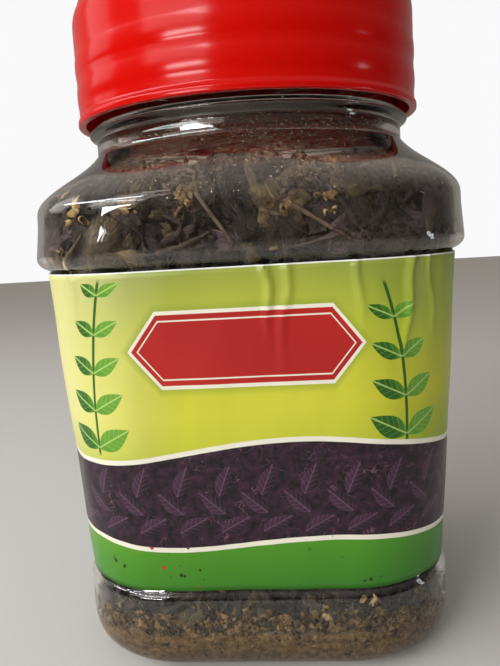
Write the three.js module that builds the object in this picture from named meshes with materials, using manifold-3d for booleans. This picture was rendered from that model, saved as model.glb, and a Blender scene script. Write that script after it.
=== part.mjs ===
// A one-litre clear plastic jar of dried purple basil: a square, round-cornered jar with a round
// threaded neck, a red screw lid with a foam liner in it, a printed film label wrapped round the
// body, and inside it the crumpled dried leaves with their stalks over a layer of fine crumbs.
// Millimetres, +Z up. The origin is the middle of the base, and the label's front faces -Y.
import * as THREE from "three";
import { mergeVertices } from "three/addons/utils/BufferGeometryUtils.js";
import Module from "manifold-3d";

const wasm = await Module();
wasm.setup();

// Driving dimensions of the jar. A half width is from the axis to the middle of a flat side.
const JAR_SIDES = 40;
const WALL = 0.9;
const NECK_WALL = 1.7;
const FOOT_INNER = 30;
const FOOT_OUTER = 36;
const BASE_RECESS = 3.2;
const HEEL_TOP = 10;
const BASE_HALF = 44;
const PANEL_BOTTOM = 20.2;
const PANEL_BOTTOM_HALF = 42.8;
const PANEL_TOP = 92.6;
const PANEL_TOP_HALF = 46.6;
const SHOULDER_HALF = 49;
const SHOULDER_BOTTOM = 95.6;
const SHOULDER_TOP = 105;
const SHOULDER_ARCH = 110.5;
const SHOULDER_FLARE = { half: 43, z: 114.5 };
const NECK_BOTTOM = 119.6;
const NECK_RADIUS = 38.9;
const BEAD_RADIUS = 40.6;
const BEAD_BOTTOM = 123.4;
const BEAD_TOP = 126;
const RIM_TOP = 153;

// Driving dimensions of the screw thread, which the neck and the lid share.
const PITCH = 5;
const THREAD_TURNS = 1.25;
const THREAD_START = 137;
const NECK_THREAD_RADIUS = 40.4;
const LID_THREAD_RADIUS = 39.6;
const THREAD_DROP = 1.9;
const RIDGE_ROOT_HALF = 1.2;
const RIDGE_CREST_HALF = 0.6;
const RIDGE_SUNK = 0.5;
const RIDGE_STEPS_PER_TURN = 32;
const RIDGE_FADE_STEPS = 4;

// Driving dimensions of the lid, with its soft raised bands, and of the liner in it.
const LID_SIDES = 44;
const LID_BOTTOM = 126.7;
const LID_TOP = 156.4;
const LID_RADIUS = 42.5;
const LID_EDGE = 7;
const LIP_RADIUS = 43;
const LIP_HEIGHT = 1.6;
const LID_BORE = 41.1;
const LID_TOP_THICK = 1.6;
const LID_PANEL_RADIUS = 33;
const LID_PANEL_SUNK = 0.6;
const BAND_HEIGHTS = [133.6, 140.4];
const BAND_PROUD = 0.45;
const BAND_HALF = 2.6;
const LINER_RADIUS = 40;
const LINER_THICK = 1.2;
const CLEAR = 0.3;

// Driving dimensions of the label and of what fills the jar.
const LABEL_THICK = 0.4;
const LABEL_MARGIN = 0.6;
const LAP_WIDTH = 9;
const FILL_SIDES = 28;
const FILL_GAP = 0.7;
const CORE_INSET = 3;
const FILL_TOP = 110.5;
const CRUMB_TOP = 12;
const GRAIN_RADIUS = 1.3;

// How round the jar is at a height, from 0, a square, to 1, a circle: the corner radius as a share
// of the half width.
const BODY_ROUNDNESS = 0.52;
const SHOULDER_ROUNDNESS = 0.6;
function roundness(z) {
  const bulge = THREE.MathUtils.smoothstep(z, PANEL_TOP, SHOULDER_TOP);
  const neck = THREE.MathUtils.smoothstep(z, SHOULDER_TOP, NECK_BOTTOM - 1);
  const share = THREE.MathUtils.lerp(BODY_ROUNDNESS, SHOULDER_ROUNDNESS, bulge);
  return THREE.MathUtils.lerp(share, 1, neck);
}

// The distance from the axis to a round-cornered square of that half width, in one direction.
function squareRadius(halfWidth, share, angle) {
  const quarter = Math.PI / 2;
  const turned = ((angle % quarter) + quarter) % quarter;
  const a = Math.min(turned, quarter - turned);
  const corner = share * halfWidth;
  const centre = halfWidth - corner;
  if (a <= Math.atan2(centre, halfWidth)) return halfWidth / Math.cos(a);
  const along = centre * (Math.cos(a) + Math.sin(a));
  return along + Math.sqrt(along * along - 2 * centre * centre + corner * corner);
}

// Turns an even direction round the jar towards the nearest corner, where the outline bends most.
const CORNER_PULL = 0.4;
function pulledToCorner(angle) {
  return angle + (CORNER_PULL * Math.sin(4 * angle)) / 4;
}

// A profile turned about +Z.
function turned(profile, sides) {
  const geometry = new THREE.LatheGeometry(profile, sides);
  return geometry.rotateX(Math.PI / 2);
}

// A profile of half widths and heights turned about +Z, then squared by roundness at each height.
function squareTurned(profile, sides) {
  const geometry = turned(profile, sides);
  const at = geometry.getAttribute("position");
  for (let i = 0; i < at.count; i++) {
    const half = Math.hypot(at.getX(i), at.getY(i));
    if (half < 1e-6) continue;
    const angle = pulledToCorner(Math.atan2(at.getY(i), at.getX(i)));
    const r = squareRadius(half, roundness(at.getZ(i)), angle);
    at.setXY(i, r * Math.cos(angle), r * Math.sin(angle));
  }
  return geometry;
}

// A closed geometry as a solid that can be joined and cut, and back.
function solidOf(geometry) {
  const bare = new THREE.BufferGeometry();
  bare.setAttribute("position", geometry.getAttribute("position").clone());
  const count = bare.getAttribute("position").count;
  bare.setIndex(geometry.index ?? [...Array(count).keys()]);
  const merged = mergeVertices(bare, 1e-4);
  const triangles = [];
  for (let i = 0; i < merged.index.count; i += 3) {
    const [a, b, c] = merged.index.array.slice(i, i + 3);
    if (a !== b && b !== c && c !== a) triangles.push(a, b, c);
  }
  const mesh = new wasm.Mesh({
    numProp: 3,
    vertProperties: merged.getAttribute("position").array,
    triVerts: new Uint32Array(triangles),
  });
  const solid = new wasm.Manifold(mesh);
  if (solid.volume() < 0) throw new Error("a solid's faces point inwards");
  return solid;
}
function geometryOf(solid) {
  const mesh = solid.getMesh();
  const geometry = new THREE.BufferGeometry();
  geometry.setAttribute("position", new THREE.BufferAttribute(mesh.vertProperties, 3));
  geometry.setIndex(new THREE.BufferAttribute(mesh.triVerts, 1));
  geometry.computeVertexNormals();
  return geometry;
}

// The largest of the separate skins that joining leaves, so that sealed hollows are filled.
function largestSkin(solid) {
  const skins = solid.decompose();
  return skins.sort((a, b) => b.volume() - a.volume())[0];
}

// A closed tube through rings of points, each ring anticlockwise seen from behind the tube's start.
function throughRings(rings) {
  const sides = rings[0].length;
  const index = [];
  for (let k = 0; k + 1 < rings.length; k++) {
    for (let i = 0; i < sides; i++) {
      const a = k * sides + i;
      const b = k * sides + ((i + 1) % sides);
      index.push(a, a + sides, b, b, a + sides, b + sides);
    }
  }
  const last = (rings.length - 1) * sides;
  for (let i = 1; i + 1 < sides; i++) {
    index.push(0, i, i + 1);
    index.push(last, last + i + 1, last + i);
  }
  const geometry = new THREE.BufferGeometry();
  geometry.setFromPoints(rings.flat());
  geometry.setIndex(index);
  return solidOf(geometry);
}

// A thread's ridge: its sloping-sided section climbs one pitch a turn and fades out at both ends.
function threadRidge(rootRadius, crestRadius, startZ) {
  const steps = Math.round(RIDGE_STEPS_PER_TURN * THREAD_TURNS);
  const outward = Math.sign(crestRadius - rootRadius);
  const sunk = rootRadius - outward * RIDGE_SUNK;
  const rings = [];
  for (let k = 0; k <= steps; k++) {
    const angle = (k / steps) * THREAD_TURNS * 2 * Math.PI;
    const z = startZ + (PITCH * angle) / (2 * Math.PI);
    const grown = Math.min(1, (0.4 + Math.min(k, steps - k)) / RIDGE_FADE_STEPS);
    const crest = rootRadius + (crestRadius - rootRadius) * grown;
    const section = [
      [sunk, -RIDGE_ROOT_HALF],
      [crest, -RIDGE_CREST_HALF],
      [crest, RIDGE_CREST_HALF],
      [sunk, RIDGE_ROOT_HALF],
    ];
    if (outward < 0) section.reverse();
    const spun = ([r, up]) => new THREE.Vector3(r * Math.cos(angle), r * Math.sin(angle), z + up);
    rings.push(section.map(spun));
  }
  return throughRings(rings);
}

// The jar's outside, from the middle of the base, over the foot it stands on, up to the rim.
function outerProfile() {
  const path = new THREE.Path();
  path.moveTo(0, BASE_RECESS);
  path.quadraticCurveTo(FOOT_INNER - 8, BASE_RECESS, FOOT_INNER, 0);
  path.lineTo(FOOT_OUTER, 0);
  path.quadraticCurveTo(BASE_HALF, 1, BASE_HALF, HEEL_TOP);
  path.lineTo(BASE_HALF, PANEL_BOTTOM - 2.4);
  path.quadraticCurveTo(BASE_HALF, PANEL_BOTTOM - 0.8, PANEL_BOTTOM_HALF, PANEL_BOTTOM);
  path.lineTo(PANEL_TOP_HALF, PANEL_TOP);
  path.quadraticCurveTo(SHOULDER_HALF, PANEL_TOP + 1, SHOULDER_HALF, SHOULDER_BOTTOM);
  path.lineTo(SHOULDER_HALF, SHOULDER_TOP);
  const { half, z } = SHOULDER_FLARE;
  path.bezierCurveTo(SHOULDER_HALF, SHOULDER_ARCH, half, z, NECK_RADIUS, NECK_BOTTOM);
  path.lineTo(NECK_RADIUS, BEAD_BOTTOM);
  const beadPull = 2 * BEAD_RADIUS - NECK_RADIUS;
  path.quadraticCurveTo(beadPull, (BEAD_BOTTOM + BEAD_TOP) / 2, NECK_RADIUS, BEAD_TOP);
  path.lineTo(NECK_RADIUS, RIM_TOP - 0.6);
  path.lineTo(NECK_RADIUS - 0.4, RIM_TOP);
  return path.getPoints(3);
}

// The jar's inside, from the rim down to the middle of the floor, a wall's thickness in. A gap
// more than that gives the outside of what fills the jar.
function innerProfile(gap = 0) {
  const inset = WALL + gap;
  const neck = NECK_RADIUS - NECK_WALL - gap;
  const shoulder = SHOULDER_HALF - inset;
  const base = BASE_HALF - inset;
  const path = new THREE.Path();
  path.moveTo(neck, RIM_TOP);
  path.lineTo(neck, NECK_BOTTOM - 0.4);
  const { half, z } = SHOULDER_FLARE;
  const arch = SHOULDER_ARCH - 0.5 - gap;
  path.bezierCurveTo(half - inset, z - WALL, shoulder, arch, shoulder, SHOULDER_TOP - 0.6);
  path.lineTo(shoulder, SHOULDER_BOTTOM + 0.4);
  path.quadraticCurveTo(shoulder, PANEL_TOP + 1.4, PANEL_TOP_HALF - inset, PANEL_TOP + 0.4);
  path.lineTo(PANEL_BOTTOM_HALF - inset, PANEL_BOTTOM - 0.3);
  path.quadraticCurveTo(base, PANEL_BOTTOM - 1.2, base, PANEL_BOTTOM - 3);
  path.lineTo(base, HEEL_TOP);
  path.quadraticCurveTo(base, 1.6 + inset, FOOT_OUTER - 0.8, inset);
  path.lineTo(FOOT_INNER + 0.6, inset);
  path.quadraticCurveTo(FOOT_INNER - 8, BASE_RECESS + inset, 0, BASE_RECESS + inset);
  return path.getPoints(2);
}

function jar() {
  const shell = solidOf(squareTurned([...outerProfile(), ...innerProfile()], JAR_SIDES));
  return shell.add(threadRidge(NECK_RADIUS, NECK_THREAD_RADIUS, THREAD_START));
}

// The lid: a lip at the bottom of its skirt, bands round it, and a panel sunk in its top.
function screwLid() {
  const path = new THREE.Path();
  const topInside = LID_TOP - LID_TOP_THICK;
  const panelTop = LID_TOP - LID_PANEL_SUNK;
  path.moveTo(0, topInside);
  path.lineTo(LID_BORE - 0.4, topInside);
  path.lineTo(LID_BORE, topInside - 0.4);
  path.lineTo(LID_BORE, LID_BOTTOM + 0.4);
  path.lineTo(LID_BORE + 0.3, LID_BOTTOM);
  path.lineTo(LIP_RADIUS, LID_BOTTOM);
  path.lineTo(LIP_RADIUS, LID_BOTTOM + LIP_HEIGHT - 0.5);
  path.lineTo(LID_RADIUS, LID_BOTTOM + LIP_HEIGHT);
  for (const z of BAND_HEIGHTS) {
    path.lineTo(LID_RADIUS, z - BAND_HALF);
    path.quadraticCurveTo(LID_RADIUS + 2 * BAND_PROUD, z, LID_RADIUS, z + BAND_HALF);
  }
  path.lineTo(LID_RADIUS, LID_TOP - LID_EDGE);
  path.quadraticCurveTo(LID_RADIUS, LID_TOP - 0.6, LID_RADIUS - LID_EDGE, LID_TOP);
  path.lineTo(LID_PANEL_RADIUS, LID_TOP);
  path.lineTo(LID_PANEL_RADIUS - 1, panelTop);
  path.lineTo(0, panelTop);
  const cap = solidOf(turned(path.getPoints(3), LID_SIDES));
  return cap.add(threadRidge(LID_BORE, LID_THREAD_RADIUS, THREAD_START - THREAD_DROP));
}

function sealLiner() {
  const geometry = new THREE.CylinderGeometry(LINER_RADIUS, LINER_RADIUS, LINER_THICK, LID_SIDES);
  geometry.rotateX(Math.PI / 2);
  geometry.translate(0, 0, RIM_TOP + CLEAR + LINER_THICK / 2);
  return solidOf(geometry);
}

// The label's film stands a little off the panel all round, with its glued lap at the back.
function label() {
  const slope = (PANEL_TOP_HALF - PANEL_BOTTOM_HALF) / (PANEL_TOP - PANEL_BOTTOM);
  const low = PANEL_BOTTOM + LABEL_MARGIN;
  const high = PANEL_TOP - LABEL_MARGIN;
  const panelAt = (z) => PANEL_BOTTOM_HALF + slope * (z - PANEL_BOTTOM);
  const film = (from, to) => {
    const point = (off, z) => new THREE.Vector2(panelAt(z) + off, z);
    const section = [point(from, low), point(to, low), point(to, high), point(from, high)];
    return solidOf(squareTurned([...section, section[0]], JAR_SIDES));
  };
  const lapPlace = new THREE.BoxGeometry(LAP_WIDTH, 2 * LAP_WIDTH, high - low + 1);
  lapPlace.translate(0, PANEL_TOP_HALF, (low + high) / 2);
  const lap = film(CLEAR, CLEAR + 2 * LABEL_THICK).intersect(solidOf(lapPlace));
  return film(CLEAR, CLEAR + LABEL_THICK).add(lap);
}

// A seeded stream of numbers, each from a low to a high value.
function seededDraws(seed) {
  let state = seed;
  return (low, high) => {
    state = (Math.imul(state, 1664525) + 1013904223) >>> 0;
    return low + ((high - low) * state) / 4294967296;
  };
}

// Half the width of the space for the filling at a height, and a point kept inside that space.
const FILL_WALL = innerProfile(FILL_GAP).filter((p) => p.x > FOOT_INNER).reverse();
function fillHalf(z) {
  const above = Math.max(1, FILL_WALL.findIndex((p) => p.y > z));
  const [a, b] = [FILL_WALL[above - 1], FILL_WALL[above]];
  return THREE.MathUtils.mapLinear(Math.max(z, a.y), a.y, b.y, a.x, b.x);
}
function keptInside(point, inset) {
  const angle = Math.atan2(point.y, point.x);
  const limit = squareRadius(fillHalf(point.z) - inset, roundness(point.z), angle);
  const r = Math.hypot(point.x, point.y);
  if (r > limit) point.set((point.x * limit) / r, (point.y * limit) / r, point.z);
  return point;
}

// The uneven tops of the heap of leaves and of the crumbs, and the heap's underside over them.
function heapTop(x, y) {
  const swell = 1.6 * Math.sin(x / 11 + 0.7) * Math.cos(y / 13 - 0.4);
  return FILL_TOP + swell + 0.9 * Math.sin(x / 4.7) * Math.sin(y / 5.3 + 1);
}
function crumbTop(x, y) {
  return CRUMB_TOP + 1.1 * Math.sin(x / 9 + 1.2) * Math.cos(y / 8) + 0.7 * Math.sin((x - y) / 5);
}
function heapFloor(x, y) {
  return crumbTop(x, y) + 1.4 * GRAIN_RADIUS;
}

// The space inside the jar, to trim the filling to.
function fillingSpace() {
  const outline = innerProfile(FILL_GAP).reverse();
  return solidOf(squareTurned([...outline, new THREE.Vector2(0, RIM_TOP)], JAR_SIDES));
}

// A plug of the jar's inside whose level bottom or top rings follow an uneven surface.
const LEVEL_RINGS = [0, 0.34, 0.68];
function plug(side, bottomOf, topOf) {
  const low = side[0];
  const high = side[side.length - 1];
  const floor = bottomOf ? LEVEL_RINGS.map((s) => new THREE.Vector2(s * low.x, low.y)) : [];
  const roof = LEVEL_RINGS.map((s) => new THREE.Vector2(s * high.x, high.y)).reverse();
  const geometry = squareTurned([...floor, ...side, ...roof], FILL_SIDES);
  const at = geometry.getAttribute("position");
  for (let i = 0; i < at.count; i++) {
    const [x, y, z] = [at.getX(i), at.getY(i), at.getZ(i)];
    if (Math.abs(z - high.y) < 1e-3) at.setZ(i, topOf(x, y));
    if (bottomOf && Math.abs(z - low.y) < 1e-3) at.setZ(i, bottomOf(x, y));
  }
  return solidOf(geometry);
}

// The fine crumbs that have sifted to the bottom, with coarser grains standing out of their top.
const GRAINS = 50;
const GOLDEN_TURN = 2.39996;
function crumbs() {
  const outline = innerProfile(FILL_GAP).reverse();
  const side = outline.filter((p) => p.y < CRUMB_TOP - 2);
  side.push(new THREE.Vector2(fillHalf(CRUMB_TOP - 2), CRUMB_TOP - 2));
  side.push(new THREE.Vector2(fillHalf(CRUMB_TOP) - 0.5, CRUMB_TOP));
  let heap = plug(side, null, crumbTop);
  const draw = seededDraws(7);
  for (let i = 0; i < GRAINS; i++) {
    const angle = i * GOLDEN_TURN;
    const half = (BASE_HALF - CORE_INSET) * Math.sqrt((i + 0.5) / GRAINS);
    const r = squareRadius(half, BODY_ROUNDNESS, angle);
    const centre = new THREE.Vector3(r * Math.cos(angle), r * Math.sin(angle), 0);
    centre.z = crumbTop(centre.x, centre.y) - draw(0, 0.6);
    const grain = new THREE.TetrahedronGeometry(GRAIN_RADIUS * draw(0.8, 1.2));
    grain.rotateX(draw(0, 3)).rotateZ(draw(0, 3));
    grain.translate(...keptInside(centre, GRAIN_RADIUS * 1.3));
    heap = heap.add(solidOf(grain));
  }
  return largestSkin(heap);
}

// A crumpled leaf as a thin plate folded along its rib, from a root sunk in the heap to a tip that
// curls off it. heading is the way it lies and off is the way out of the heap.
const FLAKE_THICK = 0.8;
const FLAKE_OUTLINE = [[0, 0], [0.28, -0.46], [0.7, -0.42], [1, 0], [0.72, 0.4], [0.3, 0.5]];
const FLAKE_SPLITS = [[0, 1, 2], [0, 2, 3], [0, 3, 4], [0, 4, 5]];
function flake({ root, heading, off, length, width, fold, lift, sink }) {
  const across = off.clone().cross(heading);
  const corners = FLAKE_OUTLINE.map(([u, v]) => {
    const height = -sink + (lift + sink) * u + fold * Math.abs(v);
    const point = root.clone().addScaledVector(heading, u * length);
    point.addScaledVector(across, v * width).addScaledVector(off, height);
    point.z = Math.max(point.z, heapFloor(point.x, point.y) + FLAKE_THICK);
    return keptInside(point, FLAKE_THICK / 2);
  });
  const half = off.clone().multiplyScalar(FLAKE_THICK / 2);
  const upper = corners.map((p) => p.clone().add(half));
  const lower = corners.map((p) => p.clone().sub(half));
  const n = corners.length;
  const index = FLAKE_SPLITS.flatMap(([a, b, c]) => [a, b, c, a + n, c + n, b + n]);
  for (let i = 0; i < n; i++) {
    const j = (i + 1) % n;
    index.push(i, i + n, j + n, i, j + n, j);
  }
  const geometry = new THREE.BufferGeometry();
  geometry.setFromPoints([...upper, ...lower]);
  geometry.setIndex(index);
  return solidOf(geometry);
}

// A piece of flower stalk that lies half sunk in the heap, with two rows of dry flower cups.
const STALK_RADIUS = 0.9;
const CUP_LENGTH = 4;
function stalk({ from, to, off, cups }) {
  const along = to.clone().sub(from);
  const place = (geometry, direction, share) => {
    const up = new THREE.Vector3(0, 1, 0);
    geometry.applyQuaternion(new THREE.Quaternion().setFromUnitVectors(up, direction));
    return solidOf(geometry.translate(...from.clone().addScaledVector(along, share)));
  };
  const stick = new THREE.CylinderGeometry(STALK_RADIUS * 0.7, STALK_RADIUS, along.length(), 5);
  let whole = place(stick, along.clone().normalize(), 0.5);
  for (let i = 0; i < cups; i++) {
    const side = off.clone().cross(along).normalize().multiplyScalar(i % 2 ? 1 : -1);
    const leaning = side.addScaledVector(along.clone().normalize(), 0.8).add(off).normalize();
    const cup = new THREE.CylinderGeometry(1.7, 0.6, CUP_LENGTH, 5);
    cup.translate(0, 0.4 * CUP_LENGTH, 0);
    whole = whole.add(place(cup, leaning, 0.3 + (0.6 * i) / cups));
  }
  return whole;
}

// The heap of dried leaves: leaves stand out of a smaller core all over, in rows up its sides and in
// a spiral over its top, with stalks among them.
const ROWS = [
  { z: 19, count: 14 },
  { z: 36, count: 8 },
  { z: 54, count: 8 },
  { z: 71, count: 8 },
  { z: 86, count: 8 },
  { z: 97, count: 16 },
  { z: 106, count: 16 },
];
const TOP_FLAKES = 34;
const STALKS = 12;
const STALK_HALF_TURN = 0.14;
function driedBasil() {
  const draw = seededDraws(31);
  const bottom = heapFloor(0, 0);
  const wall = (z) => new THREE.Vector2(fillHalf(z) - CORE_INSET, z);
  const levels = [bottom, PANEL_BOTTOM, PANEL_TOP, SHOULDER_BOTTOM, SHOULDER_TOP, FILL_TOP];
  let heap = plug(levels.map(wall), heapFloor, heapTop);
  const flakes = [];
  for (const [row, { z, count }] of ROWS.entries()) {
    for (let i = 0; i < count; i++) {
      const angle = ((i + (row % 2) / 2 + draw(-0.25, 0.25)) / count) * 2 * Math.PI;
      const height = z + draw(-3, 3);
      const r = squareRadius(fillHalf(height) - CORE_INSET, roundness(height), angle);
      const root = new THREE.Vector3(r * Math.cos(angle), r * Math.sin(angle), height);
      const off = new THREE.Vector3(Math.cos(angle), Math.sin(angle), draw(-0.2, 0.2)).normalize();
      const level = new THREE.Vector3(-Math.sin(angle), Math.cos(angle), 0);
      const rise = off.clone().cross(level);
      const way = row === 0 ? draw(0.8, 2.3) : draw(0, 2 * Math.PI);
      const heading = level.multiplyScalar(Math.cos(way)).addScaledVector(rise, Math.sin(way));
      flakes.push({ root, heading, off, lift: draw(1.4, 2.6) });
    }
  }
  for (let i = 0; i < TOP_FLAKES; i++) {
    const angle = i * GOLDEN_TURN;
    const half = (fillHalf(FILL_TOP) - CORE_INSET) * Math.sqrt((i + 0.5) / TOP_FLAKES);
    const r = squareRadius(half, roundness(FILL_TOP), angle);
    const root = new THREE.Vector3(r * Math.cos(angle), r * Math.sin(angle), 0);
    root.z = heapTop(root.x, root.y);
    const off = new THREE.Vector3(draw(-0.4, 0.4), draw(-0.4, 0.4), 1).normalize();
    const way = angle + Math.PI + draw(-1, 1);
    const inward = new THREE.Vector3(Math.cos(way), Math.sin(way), 0);
    const heading = inward.addScaledVector(off, -inward.dot(off)).normalize();
    flakes.push({ root, heading, off, lift: draw(1.5, 4) });
  }
  for (const place of flakes) {
    const length = draw(10, 17);
    const shape = { length, width: length * draw(0.5, 0.8), fold: draw(-1.5, 3), sink: 1.2 };
    heap = heap.add(flake({ ...place, ...shape }));
  }
  for (let i = 0; i < STALKS; i++) {
    const angle = (i + draw(-0.3, 0.3)) * ((2 * Math.PI) / STALKS);
    const height = i % 2 ? draw(97, 105) : draw(24, 90);
    const inset = CORE_INSET - 0.4;
    const ends = [-STALK_HALF_TURN, STALK_HALF_TURN].map((turn) => {
      const z = height + (turn * draw(-60, 60));
      const way = new THREE.Vector3(Math.cos(angle + turn), Math.sin(angle + turn), 0);
      return keptInside(way.multiplyScalar(2 * SHOULDER_HALF).setZ(z), inset);
    });
    const off = new THREE.Vector3(Math.cos(angle), Math.sin(angle), 0);
    heap = heap.add(stalk({ from: ends[0], to: ends[1], off, cups: i % 2 ? 4 : 0 }));
  }
  return largestSkin(heap.intersect(fillingSpace()));
}

const clearPlastic = new THREE.MeshStandardMaterial({
  color: 0xdfe6e6,
  roughness: 0.05,
  transparent: true,
  opacity: 0.35,
});
const redPlastic = new THREE.MeshStandardMaterial({ color: 0xd2140c, roughness: 0.3 });
const whiteFoam = new THREE.MeshStandardMaterial({ color: 0xeeeeea, roughness: 0.8 });
const printedFilm = new THREE.MeshStandardMaterial({ color: 0xa9c73f, roughness: 0.45 });
const driedLeaf = new THREE.MeshStandardMaterial({ color: 0x3a2c33, roughness: 0.9 });
const leafCrumb = new THREE.MeshStandardMaterial({ color: 0x5a4a33, roughness: 0.95 });

const basilJar = new THREE.Group();
const pieces = [
  ["jar", jar(), clearPlastic],
  ["lid", screwLid(), redPlastic],
  ["liner", sealLiner(), whiteFoam],
  ["label", label(), printedFilm],
  ["dried_basil", driedBasil(), driedLeaf],
  ["basil_crumbs", crumbs(), leafCrumb],
];
for (const [name, solid, material] of pieces) {
  const mesh = new THREE.Mesh(geometryOf(solid), material);
  mesh.name = name;
  basilJar.add(mesh);
}

export default basilJar;
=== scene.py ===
"""A one-litre clear plastic jar of dried purple basil with a red screw lid and a printed label.

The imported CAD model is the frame. Each section makes one piece of the jar, from the view it is
seen in, through the plastic and its lid and label, to the leaves, stalks and crumbs inside.
"""

import random
from bisect import bisect_left
from math import asin, atan2, cos, hypot, pi, sin, sqrt

import bmesh
import bpy
from mathutils import Matrix, Quaternion, Vector, noise


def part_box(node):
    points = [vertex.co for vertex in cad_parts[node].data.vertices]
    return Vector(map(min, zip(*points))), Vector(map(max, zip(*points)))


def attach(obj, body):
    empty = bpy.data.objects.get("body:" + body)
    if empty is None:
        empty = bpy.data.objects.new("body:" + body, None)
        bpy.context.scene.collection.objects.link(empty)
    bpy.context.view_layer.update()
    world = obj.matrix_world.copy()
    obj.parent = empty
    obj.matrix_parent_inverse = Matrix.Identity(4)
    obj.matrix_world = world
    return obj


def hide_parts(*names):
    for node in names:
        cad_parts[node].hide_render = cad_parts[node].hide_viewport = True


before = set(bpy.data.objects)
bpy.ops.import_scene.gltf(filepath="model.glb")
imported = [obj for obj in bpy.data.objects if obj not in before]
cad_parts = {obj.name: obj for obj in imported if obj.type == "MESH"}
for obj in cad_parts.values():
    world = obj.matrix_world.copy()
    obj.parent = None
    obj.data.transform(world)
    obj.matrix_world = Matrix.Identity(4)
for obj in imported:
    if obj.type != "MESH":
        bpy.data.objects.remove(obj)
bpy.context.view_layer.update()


# The view: a phone held 18 cm in front of the jar at the label's height, tipped 8 degrees down and
# leaning a little, with the jar turned a little to the left.
MM = 0.001
PHONE_PLACE = Vector((-0.6, -180.2, 97)) * MM
PHONE_YAW = -0.011
PHONE_PITCH = 0.139
PHONE_ROLL = -0.059
JAR_TURN = 0.071
LENS = 35.95

camera = bpy.data.objects.new("photo_view", bpy.data.cameras.new("photo_view"))
bpy.context.scene.collection.objects.link(camera)
camera.data.lens = LENS
camera.data.sensor_width = 36
camera.data.clip_start = 0.01
ahead = Vector((sin(PHONE_YAW) * cos(PHONE_PITCH), cos(PHONE_YAW) * cos(PHONE_PITCH), -sin(PHONE_PITCH)))
level = Vector((cos(PHONE_YAW), -sin(PHONE_YAW), 0))
upright = level.cross(ahead)
right = level * cos(PHONE_ROLL) + upright * sin(PHONE_ROLL)
up = upright * cos(PHONE_ROLL) - level * sin(PHONE_ROLL)
facing = Matrix((right, up, -ahead)).transposed().to_4x4()
camera.matrix_world = Matrix.Rotation(JAR_TURN, 4, "Z") @ Matrix.Translation(PHONE_PLACE) @ facing
bpy.context.scene.camera = camera


# The room: a plain pale floor, a light ceiling, a pale wall behind and a dim one in front. A low bright
# window and a pale curtain over it light the jar from the front left, and the right side is dimmer.
FLOOR_SIZE = 4.0
FRONT_LIGHT = 0.05
CEILING_LIGHT = 0.6
BACK_LIGHT = 0.32
RIGHT_SHARE = 0.7
JAR_MIDDLE = (0, 0, 0.11)


def principled(name, color=(0.8, 0.8, 0.8), **values):
    material = bpy.data.materials.new(name)
    material.use_nodes = True
    shader = material.node_tree.nodes["Principled BSDF"]
    shader.inputs["Base Color"].default_value = (*color, 1)
    for socket, value in values.items():
        shader.inputs[socket.replace("_", " ")].default_value = value
    return material, shader


floor_mesh = bmesh.new()
bmesh.ops.create_grid(floor_mesh, x_segments=2, y_segments=2, size=FLOOR_SIZE / 2)
floor_data = bpy.data.meshes.new("floor")
floor_mesh.to_mesh(floor_data)
floor_mesh.free()
floor = bpy.data.objects.new("floor", floor_data)
bpy.context.scene.collection.objects.link(floor)
floor_paint, _ = principled("floor_paint", (0.62, 0.6, 0.57), Roughness=0.8)
floor_data.materials.append(floor_paint)

world = bpy.data.worlds.new("room")
bpy.context.scene.world = world
bpy.context.scene.view_settings.view_transform = "Standard"
world.use_nodes = True
room_tree = world.node_tree
around = room_tree.nodes.new("ShaderNodeTexCoord")
direction = room_tree.nodes.new("ShaderNodeSeparateXYZ")
room_tree.links.new(around.outputs["Generated"], direction.inputs["Vector"])


def graded(axis, low, high, start, end):
    """Goes from start to end while the direction's part along the axis goes from low to high."""
    node = room_tree.nodes.new("ShaderNodeMapRange")
    for socket, value in zip(("From Min", "From Max", "To Min", "To Max"), (low, high, start, end)):
        node.inputs[socket].default_value = value
    room_tree.links.new(direction.outputs[axis], node.inputs["Value"])
    return node.outputs["Result"]


def joined(operation, first, second):
    node = room_tree.nodes.new("ShaderNodeMath")
    node.operation = operation
    room_tree.links.new(first, node.inputs[0])
    room_tree.links.new(second, node.inputs[1])
    return node.outputs["Value"]


overhead = graded("Z", 0.1, 0.9, FRONT_LIGHT, CEILING_LIGHT)
wall_behind = graded("Y", 0.1, 0.6, 0, BACK_LIGHT)
to_the_right = graded("X", -0.2, 0.7, 1, RIGHT_SHARE)
room_light = room_tree.nodes["Background"]
room_light.inputs["Color"].default_value = (1, 0.94, 0.87, 1)
strength = joined("MULTIPLY", joined("MAXIMUM", overhead, wall_behind), to_the_right)
room_tree.links.new(strength, room_light.inputs["Strength"])
backdrop = room_tree.nodes.new("ShaderNodeBackground")
backdrop.inputs["Color"].default_value = (0.95, 0.95, 0.95, 1)
seen = room_tree.nodes.new("ShaderNodeLightPath")
either = room_tree.nodes.new("ShaderNodeMixShader")
room_tree.links.new(seen.outputs["Is Camera Ray"], either.inputs["Fac"])
room_tree.links.new(room_light.outputs["Background"], either.inputs[1])
room_tree.links.new(backdrop.outputs["Background"], either.inputs[2])
room_tree.links.new(either.outputs["Shader"], room_tree.nodes["World Output"].inputs["Surface"])


def soft_light(name, place, size, power, color=(1, 1, 1), target=JAR_MIDDLE):
    light = bpy.data.lights.new(name, "AREA")
    light.shape = "RECTANGLE"
    light.size, light.size_y = size
    light.energy = power
    light.color = color
    lamp = bpy.data.objects.new(name, light)
    bpy.context.scene.collection.objects.link(lamp)
    lamp.location = place
    lamp.rotation_euler = (Vector(target) - Vector(place)).to_track_quat("-Z", "Y").to_euler()


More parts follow.
